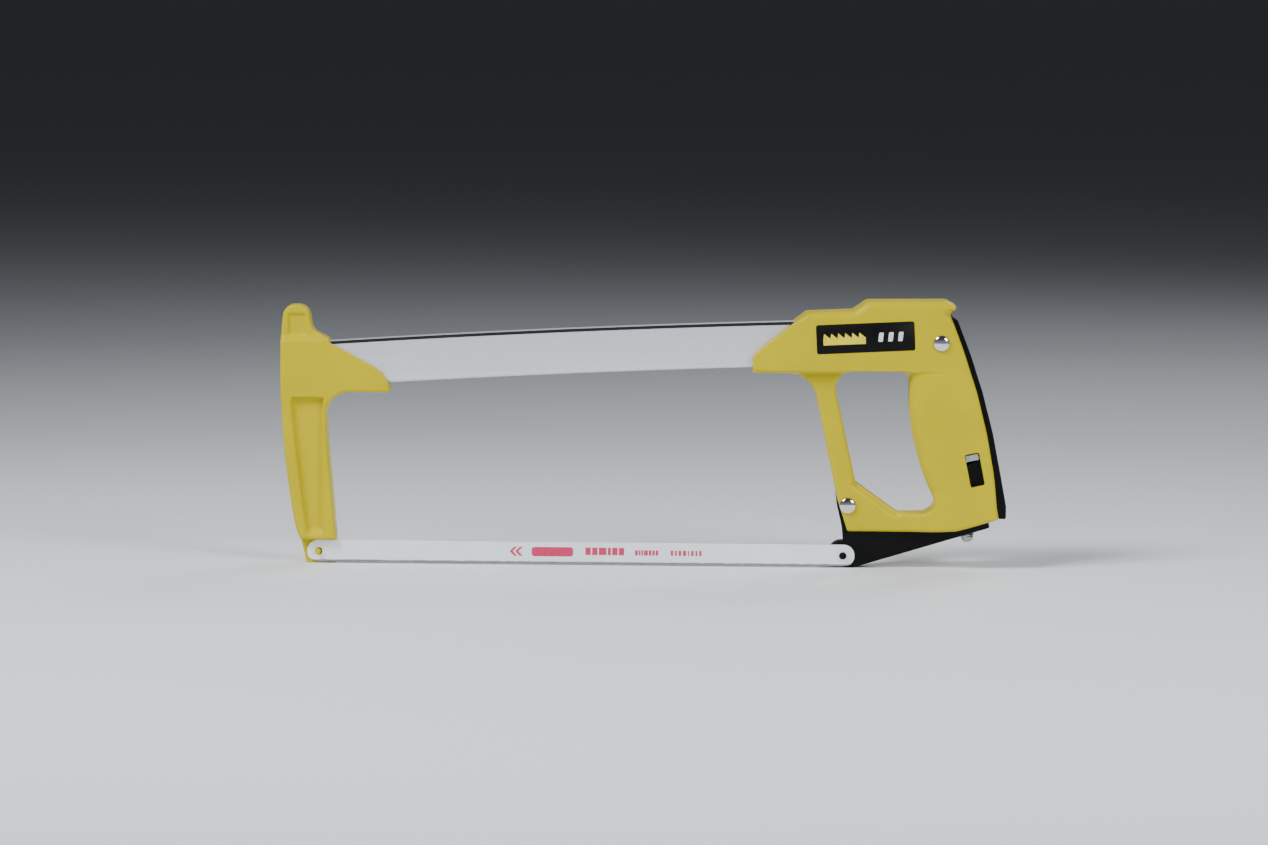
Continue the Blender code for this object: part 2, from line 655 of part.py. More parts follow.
def make_screw(paints):
    """The tension screw, with its head below the arm, and the washer under the head."""
    upwards = Vector((-DOWN[0], 0, -DOWN[1]))
    seat = place(SCREW_SEAT[0], 0, SCREW_SEAT[1])
    length = (Vector(SCREW_SEAT) - from_nut(0, -0.4)).length
    shank = SCREW_DIAMETER / 2
    under = -(SEAT_CLEARANCE + WASHER_THICKNESS + FIT)
    dome = [(SCREW_HEAD / 2 * cos(a), under - 1.0 - 1.3 * sin(a)) for a in
            [pi / 2 * i / 4 for i in range(5)]]
    profile = [(0, length), (shank - 0.5, length), (shank, length - 0.5), (shank, under),
               (SCREW_HEAD / 2, under), *dome[:-1], (0, under - 2.3)]
    screw = turned("tension_screw", profile, 24, seat, upwards)
    screw.data.materials.append(paints["chrome"])
    top = -SEAT_CLEARANCE
    ring, hole = WASHER_DIAMETER / 2, shank + FIT
    washer = [(ring, top), (ring, top - WASHER_THICKNESS), (hole, top - WASHER_THICKNESS),
              (hole, top), (ring, top)]
    turned("screw_washer", washer, 24, seat, upwards).data.materials.append(paints["chrome"])


# ---------------------------------------------------------------- tension arm

def arm_under(x, up=0.0):
    """A point on the arm's lower face, or above it."""
    rise = (x - SCREW_SEAT[0] + REAR) * tan(ARM_EDGE)
    return REAR + x, SCREW_SEAT[1] + rise + up


def make_arm(paint):
    half = ARM_WIDTH / 2
    boss = low(-1.0, -FOOT_DEPTH + ARM_BOSS)
    foot_x = SCREW_SEAT[0] - REAR - (SCREW_SEAT[1] + FOOT_DEPTH) / tan(ARM_EDGE)
    side = [
        low(-4.9, 36.2), low(-4.1, 29.3), low(-1.0, 15.7), low(-0.4, 8.5),
        *arc(boss, ARM_BOSS, 108, 270), low(foot_x, -FOOT_DEPTH), arm_under(80.0),
        *rounded([arm_under(80.0), (*low(83.0, 16.8), 0.8), low(82.4, 20.9)])[1:],
        low(25.7, 20.9), low(9.4, 30.4), low(8.0, 36.2),
    ]
    arm = plate("tension_arm", side, -half, half, pivot=ARM_PIVOT)
    inner = half - ARM_SHEET
    inside = [low(-2.6, 50.0), low(-1.7, 29.3), low(1.4, 15.7), low(2.4, 11.0),
              arm_under(13.0, ARM_SHEET), arm_under(78.0, ARM_SHEET), low(95.0, 50.0)]
    along = Vector((cos(ARM_EDGE), sin(ARM_EDGE)))
    slot = Vector(SCREW_SEAT) + along * SLOT_SLIP / 2
    clear = SCREW_DIAMETER / 2 + SLOT_PLAY
    screw_slot = box("screw_slot", slot, -clear, clear, along, 2 * clear + SLOT_SLIP, 12.0, CUTTERS)
    cut(arm, tool("arm_inside", inside, -inner, inner), screw_slot,
        bore("arm_pivot_hole", ARM_PIVOT, PIVOT_SHANK + 2 * FIT),
        bore("rear_pin_hole", low(0, 0), PIN_DIAMETER + 2 * FIT, -half - 10, half - 2))
    arm.data.materials.append(paint)


# ---------------------------------------------------------------- blade and pins

def blade_pin(name, x, back, paint):
    """A blade pin: (radius, distance towards the near side) along its own axis."""
    tip = -BLADE_SEAT + FIT + BLADE_THICKNESS + PIN_PROUD
    radius = PIN_DIAMETER / 2
    profile = [(0, tip), (radius - 0.5, tip), (radius, tip - 0.5), (radius, back), (0, back)]
    across_bolt(name, (x, 0), profile, 32).data.materials.append(paint)


def make_blade(paint):
    near = BLADE_SEAT - FIT - BLADE_THICKNESS
    half = BLADE_HEIGHT / 2
    x0, x1 = FRONT_HOLE_X - BLADE_END, REAR_HOLE_X + BLADE_END
    count = int((x1 - x0 - 14.0) / TOOTH_PITCH)
    start = (x0 + x1 - count * TOOTH_PITCH) / 2
    teeth = []
    for i in range(count):
        foot = start + i * TOOTH_PITCH
        teeth += [(foot, -half + TOOTH_DEPTH), (foot + 0.15 * TOOTH_PITCH, -half)]
    teeth.append((start + count * TOOTH_PITCH, -half + TOOTH_DEPTH))
    back = rounded([(x1, -half + TOOTH_DEPTH, 5.0), (x1, half, 5.5), (x0, half, 5.5),
                    (x0, -half + TOOTH_DEPTH, 5.0)])
    holes = [circle((FRONT_HOLE_X, 0), BLADE_HOLE / 2), circle((REAR_HOLE_X, 0), BLADE_HOLE / 2)]
    blade = plate("blade", teeth + back, near, near + BLADE_THICKNESS, holes=holes)
    blade.data.materials.append(paint)


def shade_round_pieces():
    for obj in PARTS.objects:
        obj.data.shade_smooth()
        obj.data.set_sharp_from_angle(angle=radians(35))


def main():
    global PARTS, CUTTERS
    for obj in list(bpy.data.objects):
        bpy.data.objects.remove(obj, do_unlink=True)
    PARTS = new_collection("hacksaw")
    CUTTERS = new_collection("cutters")
    paints = make_materials()
    make_spine(paints["silver"])
    make_bracket(paints["yellow"])
    make_handle(paints["yellow"])
    make_labels(paints["label"])
    make_lever(paints["black"])
    make_linkage(paints)
    make_nut(paints["steel"])
    make_screw(paints)
    make_arm(paints["black"])
    rivet("upper_pivot_rivet", PIVOT, HANDLE_WIDTH / 2, PIVOT_SHANK,
          RIVET_HEAD).data.materials.append(paints["chrome"])
    rivet("lower_pivot_rivet", ARM_PIVOT, STRUT_WIDTH / 2, PIVOT_SHANK,
          RIVET_HEAD).data.materials.append(paints["chrome"])
    blade_pin("front_blade_pin", 0, -LUG_BACK + 4 + FIT, paints["yellow"])
    blade_pin("rear_blade_pin", REAR, -ARM_WIDTH / 2 + 2 + FIT, paints["black"])
    make_blade(paints["blade"])
    shade_round_pieces()
    CUTTERS.hide_render = True


main()
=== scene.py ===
"""Looks for the hacksaw: finer castings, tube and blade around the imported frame, and every
finish as a procedural material.

Side-view points are in millimetres from the front blade pin: x towards the handle, z up.
The pins, rivets, outer faces and blade are read from the frame; the profiles are stated here.
"""

from math import acos, cos, pi, radians, sin, tan

import bmesh
import bpy
import numpy as np
from mathutils import Matrix, Vector


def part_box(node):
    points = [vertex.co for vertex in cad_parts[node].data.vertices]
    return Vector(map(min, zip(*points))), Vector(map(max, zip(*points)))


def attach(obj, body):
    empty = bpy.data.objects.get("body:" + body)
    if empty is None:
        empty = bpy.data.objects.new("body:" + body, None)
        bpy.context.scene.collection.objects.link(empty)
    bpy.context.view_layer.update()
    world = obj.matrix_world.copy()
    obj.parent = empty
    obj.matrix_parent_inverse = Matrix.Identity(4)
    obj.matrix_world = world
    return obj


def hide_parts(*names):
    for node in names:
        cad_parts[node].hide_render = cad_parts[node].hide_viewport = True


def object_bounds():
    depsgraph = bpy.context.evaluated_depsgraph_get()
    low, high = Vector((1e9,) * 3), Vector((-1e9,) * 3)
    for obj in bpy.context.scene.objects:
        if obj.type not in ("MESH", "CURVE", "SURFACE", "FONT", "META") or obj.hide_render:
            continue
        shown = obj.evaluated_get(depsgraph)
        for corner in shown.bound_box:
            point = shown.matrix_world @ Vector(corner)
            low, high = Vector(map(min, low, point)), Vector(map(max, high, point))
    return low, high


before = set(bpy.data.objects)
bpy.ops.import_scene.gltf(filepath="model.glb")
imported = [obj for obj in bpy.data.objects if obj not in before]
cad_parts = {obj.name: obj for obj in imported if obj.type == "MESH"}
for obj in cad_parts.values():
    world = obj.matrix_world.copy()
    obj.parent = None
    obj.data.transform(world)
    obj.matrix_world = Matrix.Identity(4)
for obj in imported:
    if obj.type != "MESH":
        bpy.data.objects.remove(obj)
cad_box = [list(corner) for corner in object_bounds()]

MM = 0.001
ARC_STEP = radians(6)
VOXEL = 0.42 * MM


# ---------------------------------------------------------------- places, from the frame

def middle(node):
    lo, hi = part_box(node)
    return (Vector(lo) + Vector(hi)) / 2


def half_size(node):
    lo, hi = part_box(node)
    return (Vector(hi) - Vector(lo)) / 2 / MM


FRONT_PIN = middle("front_blade_pin")
REAR_PIN = middle("rear_blade_pin")
REAR = (REAR_PIN.x - FRONT_PIN.x) / MM
PIVOT_Z = (middle("upper_pivot_rivet").z - FRONT_PIN.z) / MM
REAR_Z = PIVOT_Z - 2.1                  # spine axis at the handle
FOOT = FRONT_PIN.z / MM                 # pin line above the floor
HANDLE_HALF = half_size("handle").y
BRACKET_HALF = half_size("front_bracket").y
BLADE_LO, BLADE_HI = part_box("blade")


def place(x, y, z):
    """World position of a side-view point."""
    return Vector((FRONT_PIN.x + x * MM, y * MM, FRONT_PIN.z + z * MM))


def side_view(point):
    """A world point as a side-view point."""
    return (point.x - FRONT_PIN.x) / MM, (point.z - FRONT_PIN.z) / MM


def high(dx, dz):
    """A point of the handle, from the rear pin and the spine's axis."""
    return REAR + dx, REAR_Z + dz


def mid(dx, share):
    """A point of the handle at a share of the height up to the spine's axis."""
    return REAR + dx, REAR_Z * share


def low(dx, z):
    """A point of the handle, from the rear pin and the pin line."""
    return REAR + dx, z


PIVOT = side_view(middle("upper_pivot_rivet"))
ARM_PIVOT = side_view(middle("lower_pivot_rivet"))
SPINE_HEIGHT = REAR_Z - 13.8            # spine axis above the front pin
SPINE_SLOPE = 0.072
SPINE_RADIUS = 6870.0
FRONT_Z = SPINE_HEIGHT + 1.41
LINK_LEAN = radians(11.54)              # lean of the screw and the window from upright
TUBE_RISE = 12.7                        # half the tube's height
TUBE_WALL = 1.6
TUBE_CORNER = 2.2
CORNER_NORMALS = (0.2, 0.96)            # upward share of the normals on the upper corners, which get the painted reflection finish
SEAT_GAP = 0.15                         # casting to tube


def spine_z(x):
    """Height of the bowed tube's axis."""
    return SPINE_HEIGHT + SPINE_SLOPE * x - x * x / (2 * SPINE_RADIUS)


# ---------------------------------------------------------------- materials

def srgb(*levels):
    """Linear colour from 8-bit sRGB levels."""
    return tuple(((v / 255 + 0.055) / 1.055) ** 2.4 if v > 10 else v / 255 / 12.92 for v in levels)


class Nodes:
    """Adds shader nodes to one material."""

    def __init__(self, name):
        self.material = bpy.data.materials.new(name)
        self.material.use_nodes = True
        self.tree = self.material.node_tree
        self.shader = self.tree.nodes["Principled BSDF"]
        self.coordinates = self.tree.nodes.new("ShaderNodeTexCoord").outputs["Object"]

    def link(self, source, target):
        self.tree.links.new(source, target)

    def set(self, **values):
        """Sets shader sockets; an underscore in a keyword stands for a space."""
        for name, value in values.items():
            self.shader.inputs[name.replace("_", " ")].default_value = value

    def scaled(self, scale):
        mapping = self.tree.nodes.new("ShaderNodeMapping")
        mapping.inputs["Scale"].default_value = scale
        self.link(self.coordinates, mapping.inputs["Vector"])
        return mapping.outputs["Vector"]

    def noise(self, scale, detail=3.0, stretch=(1, 1, 1)):
        noise = self.tree.nodes.new("ShaderNodeTexNoise")
        noise.inputs["Scale"].default_value = scale
        noise.inputs["Detail"].default_value = detail
        self.link(self.scaled(stretch), noise.inputs["Vector"])
        return noise.outputs["Fac"]

    def ramp(self, source, low_in, high_in, low_out=0.0, high_out=1.0):
        node = self.tree.nodes.new("ShaderNodeMapRange")
        node.inputs["From Min"].default_value = low_in
        node.inputs["From Max"].default_value = high_in
        node.inputs["To Min"].default_value = low_out
        node.inputs["To Max"].default_value = high_out
        self.link(source, node.inputs["Value"])
        return node.outputs["Result"]

    def mix(self, factor, first, second):
        """Mixes two colours; either may be a socket."""
        node = self.tree.nodes.new("ShaderNodeMix")
        node.data_type = "RGBA"
        for socket, value in ((node.inputs[6], first), (node.inputs[7], second)):
            if isinstance(value, tuple):
                socket.default_value = (*value, 1.0)
            else:
                self.link(value, socket)
        self.link(factor, node.inputs["Factor"])
        return node.outputs[2]

    def bump(self, source, distance, strength=0.5, under=None):
        node = self.tree.nodes.new("ShaderNodeBump")
        node.inputs["Distance"].default_value = distance
        node.inputs["Strength"].default_value = strength
        self.link(source, node.inputs["Height"])
        if under is not None:
            self.link(under, node.inputs["Normal"])
        return node.outputs["Normal"]

    def axis(self, index):
        node = self.tree.nodes.new("ShaderNodeSeparateXYZ")
        self.link(self.coordinates, node.inputs[0])
        return node.outputs[index]


def yellow_powder_coat():
    """Glossy powder coat on a die casting: orange peel, faint mottling, duller in places."""
    n = Nodes("yellow_powder_coat")
    tone = n.ramp(n.noise(26, 4.0), 0.35, 0.7)
    n.link(n.mix(tone, (0.58, 0.477, 0.0), (0.54, 0.437, 0.0)), n.shader.inputs["Base Color"])
    n.link(n.ramp(n.noise(90, 3.0), 0.3, 0.7, 0.26, 0.36), n.shader.inputs["Roughness"])
    n.set(Specular_IOR_Level=0.14)
    peel = n.bump(n.noise(1100, 2.0), 0.00012, 0.25)
    n.link(n.bump(n.noise(230, 2.0), 0.0003, 0.12, peel), n.shader.inputs["Normal"])
    return n.material


def silver_lacquer():
    """Satin lacquer over a drawn tube, with faint draw lines along its length."""
    n = Nodes("silver_lacquer")
    lines = n.noise(900, 3.0, (0.02, 1, 1))
    color = n.mix(n.ramp(lines, 0.3, 0.7), (0.80, 0.82, 0.86), (0.74, 0.76, 0.80))
    n.link(color, n.shader.inputs["Base Color"])
    n.link(n.ramp(lines, 0.3, 0.7, 0.26, 0.34), n.shader.inputs["Roughness"])
    n.set(Metallic=0.45)
    n.link(n.bump(lines, 0.00002, 0.1), n.shader.inputs["Normal"])
    return n.material


def painted_reflection_corner():
    """A darker near-mirror finish for the tube's upward-facing corners only: a painted reflection
    line, not a finish the tube has.
    """
    n = Nodes("painted_reflection_corner")
    lines = n.noise(900, 3.0, (0.02, 1, 1))
    n.set(Base_Color=(0.62, 0.63, 0.65, 1.0), Metallic=1.0)
    n.link(n.ramp(lines, 0.3, 0.7, 0.06, 0.12), n.shader.inputs["Roughness"])
    n.link(n.bump(lines, 0.00002, 0.1), n.shader.inputs["Normal"])
    return n.material


def black_paint(name, roughness):
    """Dipped black paint over pressed steel, slightly wavy."""
    n = Nodes(name)
    mottle = n.ramp(n.noise(60, 3.0), 0.3, 0.7)
    n.link(n.mix(mottle, (0.0008, 0.0008, 0.0009), (0.002, 0.002, 0.0022)),
           n.shader.inputs["Base Color"])
    n.link(n.ramp(n.noise(140, 4.0), 0.3, 0.7, roughness, roughness + 0.12),
           n.shader.inputs["Roughness"])
    n.set(Specular_IOR_Level=0.16)
    n.link(n.bump(n.noise(600, 2.0), 0.0001, 0.2), n.shader.inputs["Normal"])
    return n.material


def bright_plate(name, level, haze):
    """Bright plating with a trace of handling haze."""
    n = Nodes(name)
    n.set(Base_Color=(level, level, level * 1.01, 1.0), Metallic=1.0)
    n.link(n.ramp(n.noise(300, 4.0), 0.35, 0.75, 0.06, haze), n.shader.inputs["Roughness"])
    n.link(n.bump(n.noise(700, 2.0), 0.00005, 0.15), n.shader.inputs["Normal"])
    return n.material


def bare_steel():
    n = Nodes("bare_steel")
    grain = n.noise(1200, 3.0, (1, 1, 0.05))
    color = n.mix(n.ramp(grain, 0.3, 0.7), srgb(168, 170, 173), srgb(196, 198, 200))
    n.link(color, n.shader.inputs["Base Color"])
    n.set(Metallic=0.9)
    n.link(n.ramp(grain, 0.3, 0.7, 0.3, 0.45), n.shader.inputs["Roughness"])
    n.link(n.bump(grain, 0.00004, 0.3), n.shader.inputs["Normal"])
    return n.material


def blade_paint():
    """Pale paint that ends above the teeth, where the ground steel shows."""
    n = Nodes("blade_paint")
    paint = n.mix(n.ramp(n.noise(70, 3.0), 0.3, 0.7), (0.90, 0.95, 0.98), (0.85, 0.905, 0.94))
    height = n.axis(2)
    edge = BLADE_LO[2] + 1.55 * MM
    wavy = n.tree.nodes.new("ShaderNodeMath")
    wavy.operation = "ADD"
    n.link(height, wavy.inputs[0])
    n.link(n.ramp(n.noise(400, 2.0), 0.3, 0.7, -0.2 * MM, 0.2 * MM), wavy.inputs[1])
    bare = n.ramp(wavy.outputs[0], edge + 0.12 * MM, edge - 0.12 * MM)
    scratches = n.noise(1500, 3.0, (0.06, 1, 1))
    steel = n.mix(n.ramp(scratches, 0.3, 0.7), srgb(132, 138, 142), srgb(160, 166, 170))
    n.link(n.mix(bare, paint, steel), n.shader.inputs["Base Color"])
    n.link(n.ramp(bare, 0, 1, 0.05, 0.8), n.shader.inputs["Metallic"])
    n.link(n.ramp(scratches, 0.3, 0.7, 0.3, 0.42), n.shader.inputs["Roughness"])
    n.link(n.bump(scratches, 0.00003, 0.2), n.shader.inputs["Normal"])
    return n.material


def print_ink(name, color, roughness=0.45):
    n = Nodes(name)
    tone = n.mix(n.ramp(n.noise(500, 3.0), 0.35, 0.7), color, tuple(0.82 * c for c in color))
    n.link(tone, n.shader.inputs["Base Color"])
    n.set(Roughness=roughness)
    return n.material


def floor_paper():
    """Pale seamless paper with a painted pool of light: its colour is brightest round the saw and
    painted darker further off.
    """
    n = Nodes("floor_paper")
    length = n.tree.nodes.new("ShaderNodeVectorMath")
    length.operation = "DISTANCE"
    length.inputs[1].default_value = (0.0, -0.4, 0.0)
    n.link(n.coordinates, length.inputs[0])
    # painted light falloff: the colour darkens with distance from the saw
    ramp = n.tree.nodes.new("ShaderNodeValToRGB")
    ramp.color_ramp.interpolation = "B_SPLINE"
    stops = ramp.color_ramp.elements
    stops[0].position, stops[0].color = 0.0, (0.86, 0.90, 0.95, 1)
    stops[1].position, stops[1].color = 1.0, (0.085, 0.092, 0.108, 1)
    for place_at, level in ((0.07, 0.92), (0.14, 0.76), (0.24, 0.46), (0.4, 0.25), (0.7, 0.14)):
        stops.new(place_at).color = (level * 0.96, level, level * 1.065, 1)
    n.link(n.ramp(length.outputs["Value"], 0.0, 5.0), ramp.inputs["Fac"])
    n.link(ramp.outputs["Color"], n.shader.inputs["Base Color"])
    n.set(Roughness=0.6, Specular_IOR_Level=0.2)
    n.link(n.bump(n.noise(300, 3.0), 0.0001, 0.2), n.shader.inputs["Normal"])
    return n.material


# ---------------------------------------------------------------- mesh helpers

def arc(center, radius, start, end):
    start, end = radians(start), radians(end)
    count = max(2, round(abs(end - start) / ARC_STEP))
    angles = [start + (end - start) * i / count for i in range(count + 1)]
    return [(center[0] + radius * cos(a), center[1] + radius * sin(a)) for a in angles]


def rounded(corners):
    """The outline through these corners; a third value in a corner is its radius."""
    points = []
    for i, corner in enumerate(corners):
        here = Vector(corner[:2])
        if len(corner) < 3:
            points.append(tuple(here))
            continue
        to_last = (Vector(corners[i - 1][:2]) - here).normalized()
        to_next = (Vector(corners[(i + 1) % len(corners)][:2]) - here).normalized()
        opening = acos(max(-1.0, min(1.0, to_last.dot(to_next))))
        reach = corner[2] / tan(opening / 2)
        center = here + (to_last + to_next).normalized() * corner[2] / sin(opening / 2)
        first = here + to_last * reach - center
        last = here + to_next * reach - center
        turn = first.angle_signed(last)
        count = max(2, round(abs(turn) / ARC_STEP))
        for step in range(count + 1):
            points.append(tuple(center + Matrix.Rotation(-turn * step / count, 2) @ first))
    return points


def eased(points, count=6):
    """A smooth open line through a few points (Catmull-Rom)."""
    ends = [points[0], *points, points[-1]]
    line = []
    for i in range(len(points) - 1):
        a, b, c, d = (Vector(p) for p in ends[i:i + 4])
        for step in range(count):
            t = step / count
            line.append(tuple(0.5 * ((2 * b) + (c - a) * t + (2 * a - 5 * b + 4 * c - d) * t * t
                                     + (3 * b - a - 3 * c + d) * t ** 3)))
    return line + [tuple(points[-1])]


def circle(center, radius, count=64):
    angles = [2 * pi * i / count for i in range(count)]
    return [(center[0] + radius * cos(a), center[1] + radius * sin(a)) for a in angles]


def link_object(name, mesh):
    made = bpy.data.objects.new(name, mesh)
    bpy.context.scene.collection.objects.link(made)
    return made


def baked(obj):
    """Applies an object's modifiers."""
    graph = bpy.context.evaluated_depsgraph_get()
    mesh = bpy.data.meshes.new_from_object(obj.evaluated_get(graph))
    obj.modifiers.clear()
    obj.data = mesh
    return obj


def plate(name, outline, y0, y1, holes=()):
    """A flat piece with this side view, from Y = y0 to y1."""
    curve = bpy.data.curves.new(name, "CURVE")
    curve.dimensions = "2D"
    curve.fill_mode = "BOTH"
    curve.extrude = (y1 - y0) / 2 * MM
    for loop in (outline, *holes):
        spline = curve.splines.new("POLY")
        spline.points.add(len(loop) - 1)
        spline.use_cyclic_u = True
        for point, (x, z) in zip(spline.points, loop):
            point.co = (x * MM, z * MM, 0, 1)
    drawn = link_object(name + "_outline", curve)
    graph = bpy.context.evaluated_depsgraph_get()
    mesh = bpy.data.meshes.new_from_object(drawn.evaluated_get(graph))
    bpy.data.objects.remove(drawn)
    bpy.data.curves.remove(curve)
    mesh.name = name
    shape = bmesh.new()
    shape.from_mesh(mesh)
    bmesh.ops.remove_doubles(shape, verts=shape.verts, dist=1e-7)
    bmesh.ops.dissolve_limit(shape, angle_limit=radians(0.05), verts=shape.verts, edges=shape.edges)
    bmesh.ops.rotate(shape, verts=shape.verts, matrix=Matrix.Rotation(pi / 2, 3, "X"))
    bmesh.ops.translate(shape, verts=shape.verts, vec=place(0, (y0 + y1) / 2, 0))
    bmesh.ops.recalc_face_normals(shape, faces=shape.faces)
    shape.to_mesh(mesh)
    shape.free()
    return link_object(name, mesh)


def combine(obj, other, operation):
    boolean = obj.modifiers.new("Cut", "BOOLEAN")
    boolean.operation = operation
    boolean.object = other
    baked(obj)
    bpy.data.objects.remove(other)
    return obj


def cut(obj, *cutters):
    for cutter in cutters:
        combine(obj, cutter, "DIFFERENCE")


def even_faces(obj):
    remesh = obj.modifiers.new("Even", "REMESH")
    remesh.mode = "VOXEL"
    remesh.voxel_size = VOXEL
    baked(obj)


def cast(obj, sculpt, rounds=3):
    """Turns a plain solid into a casting: even small faces, moved by sculpt, then eased."""
    even_faces(obj)
    count = len(obj.data.vertices)
    points = np.empty(count * 3)
    obj.data.vertices.foreach_get("co", points)
    points = points.reshape(-1, 3)
    x = (points[:, 0] - FRONT_PIN.x) / MM
    z = (points[:, 2] - FRONT_PIN.z) / MM
    points[:, 1] = sculpt(x, points[:, 1] / MM, z) * MM
    obj.data.vertices.foreach_set("co", points.ravel())
    obj.data.update()
    even_faces(obj)
    smooth = obj.modifiers.new("Ease", "SMOOTH")
    smooth.factor = 0.5
    smooth.iterations = rounds
    baked(obj)
    obj.data.shade_smooth()
    return obj


def edge_distance(x, z, outline):
    """Distance in the side view from each point to a closed outline."""
    ring = np.array(outline)
    best = np.full(len(x), 1e9)
    for (ax, az), (bx, bz) in zip(ring, np.roll(ring, -1, axis=0)):
        dx, dz = bx - ax, bz - az
        share = np.clip(((x - ax) * dx + (z - az) * dz) / (dx * dx + dz * dz + 1e-12), 0, 1)
        best = np.minimum(best, (x - ax - share * dx) ** 2 + (z - az - share * dz) ** 2)
    return np.sqrt(best)


def step(value, start, end):
    """A smooth step from 0 at start to 1 at end."""
    t = np.clip((value - start) / (end - start), 0, 1)
    return t * t * (3 - 2 * t)


def round_rim(half, radius, distance):
    """Half width near a rim of this radius."""
    inside = np.clip(radius - distance, 0, radius)
    return half - radius + np.sqrt(np.maximum(radius ** 2 - inside ** 2, 0))


def widened(y, inner, old, new):
    """Moves faces between the inner half width and the old one so that old becomes new."""
    size = np.abs(y)
    moved = inner + (size - inner) * (new - inner) / (old - inner)
    return np.sign(y) * np.where(size > inner, moved, size)


def shade(obj, angle):
    """Smooth shading, with edges sharper than this angle kept sharp."""
    obj.data.shade_smooth()
    obj.data.set_sharp_from_angle(angle=radians(angle))


def bevel_edges(obj, width, segments):
    bevel = obj.modifiers.new("Edge", "BEVEL")
    bevel.width = width * MM
    bevel.segments = segments
    bevel.limit_method = "ANGLE"
    bevel.angle_limit = radians(40)
    bevel.use_clamp_overlap = True
    bevel.harden_normals = False


def rim(obj, width, segments=3):
    """Small rounded rims on a plain solid."""
    bevel_edges(obj, width, segments)
    baked(obj)
    shade(obj, 50)
    return obj


def finish_piece(obj, material, body, slot, *nodes):
    """Gives a piece its material and body, and hides the nodes that it stands in for. Its slot is
    not used.
    """
    obj.data.materials.clear()
    obj.data.materials.append(material)
    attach(obj, body)
    if nodes:
        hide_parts(*nodes)
    return obj


def turned(name, profile, center, axis, steps=48):
    """A round piece: (radius, height) from top to bottom, turned about an axis."""
    mesh = bpy.data.meshes.new(name)
    shape = bmesh.new()
    points = [shape.verts.new((r * MM, 0, h * MM)) for r, h in profile]
    for first, second in zip(points, points[1:]):
        shape.edges.new((first, second))
    bmesh.ops.spin(shape, geom=shape.verts[:] + shape.edges[:], cent=(0, 0, 0), axis=(0, 0, 1),
                   angle=2 * pi, steps=steps)
    bmesh.ops.remove_doubles(shape, verts=shape.verts, dist=1e-7)
    turn = Vector((0, 0, 1)).rotation_difference(Vector(axis)).to_matrix()
    bmesh.ops.rotate(shape, verts=shape.verts, matrix=turn)
    bmesh.ops.translate(shape, verts=shape.verts, vec=center)
    bmesh.ops.recalc_face_normals(shape, faces=shape.faces)
    shape.to_mesh(mesh)
    shape.free()
    made = link_object(name, mesh)
    shade(made, 40)
    return made


# ---------------------------------------------------------------- spine

def make_spine(material, reflection_corner_material):
    """The drawn tube, following the bowed axis, with rounded corners and open ends."""
    lo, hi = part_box("spine_tube")
    x0, x1 = (lo[0] - FRONT_PIN.x) / MM + 1.0, (hi[0] - FRONT_PIN.x) / MM - 0.6
    half, stations = half_size("spine_tube").y, 60

    def section(inset):
        w, h, r = half - inset, TUBE_RISE - inset, TUBE_CORNER - inset
        return rounded([(-w, -h, r), (w, -h, r), (w, h, r), (-w, h, r)])

    shape = bmesh.new()
    rings = {}
    for skin, inset in (("outer", 0.0), ("inner", TUBE_WALL)):
        rings[skin] = []
        for i in range(stations + 1):
            x = x0 + (x1 - x0) * i / stations
            slope = SPINE_SLOPE - x / SPINE_RADIUS
            ring = [shape.verts.new(place(x - v * slope, u, spine_z(x) + v))
                    for u, v in section(inset)]
            rings[skin].append(ring)
    for skin in rings.values():
        for first, second in zip(skin, skin[1:]):
            for k in range(len(first)):
                m = (k + 1) % len(first)
                shape.faces.new((first[k], first[m], second[m], second[k]))
    for end in (0, -1):
        outer, inner = rings["outer"][end], rings["inner"][end]
        for k in range(len(outer)):
            m = (k + 1) % len(outer)
            shape.faces.new((outer[k], outer[m], inner[m], inner[k]))
    bmesh.ops.recalc_face_normals(shape, faces=shape.faces)
    mesh = bpy.data.meshes.new("spine")
    shape.to_mesh(mesh)
    shape.free()
    tube = link_object("spine", mesh)
    shade(tube, 40)
    finish_piece(tube, material, "frame", "silver_tube", "spine_tube")
    tube.data.materials.append(reflection_corner_material)
    # the upward-facing corners get the finish that paints a dark reflection line
    for face in tube.data.polygons:
        if CORNER_NORMALS[0] < face.normal.z < CORNER_NORMALS[1]:
            face.material_index = 1


def spine_room(x0, x1):
    """Cutter for the tube's seat in a casting."""
    count = 24
    rise, half = TUBE_RISE + SEAT_GAP, half_size("spine_tube").y + SEAT_GAP
    stations = [x0 + (x1 - x0) * i / count for i in range(count + 1)]
    outline = [(x, spine_z(x) - rise) for x in stations]
    outline += [(x, spine_z(x) + rise) for x in reversed(stations)]
    return plate("seat", outline, -half, half)


# ---------------------------------------------------------------- front bracket

LUG_SEAT = -5.0           # near face of the lug, where the blade lies
LUG_BACK = 7.0
PIN_HOLE_RADIUS = 1.75


def bracket_outline():
    top = FRONT_Z
    reach = (FRONT_PIN.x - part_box("front_bracket")[0][0]) / MM
    front = eased([(-reach, top + 9), (-reach, top - 8), (-21.4, top - 20), (-19.5, top * 0.543),
                   (-16.6, top * 0.338), (-13.2, 16.1), (-9.9, 6.75)])
    inner = eased([(10.3, 6.75), (8.1, top * 0.308), (6.4, top * 0.47), (5.2, top * 0.6),
                   (4.6, top * 0.72)])
    return front + rounded([
        *inner[:-1], (4.5, top - 17.0, 13.0), (40.9, top - 16.9, 1.4),
        (40.2, top - 11.6, 2.5), (36.6, top - 5.9, 4.0), (31.4, top - 2.2, 4.0),
        (6.8, top + 10.9), (5.4, top + 13.4, 0.8),
        (-3.4, top + 18.4, 6.0), (-6.2, top + 32.4, 6.6), (-19.8, top + 32.4, 6.2),
        (-21.0, top + 21.0), (-reach, top + 11.5),
    ])


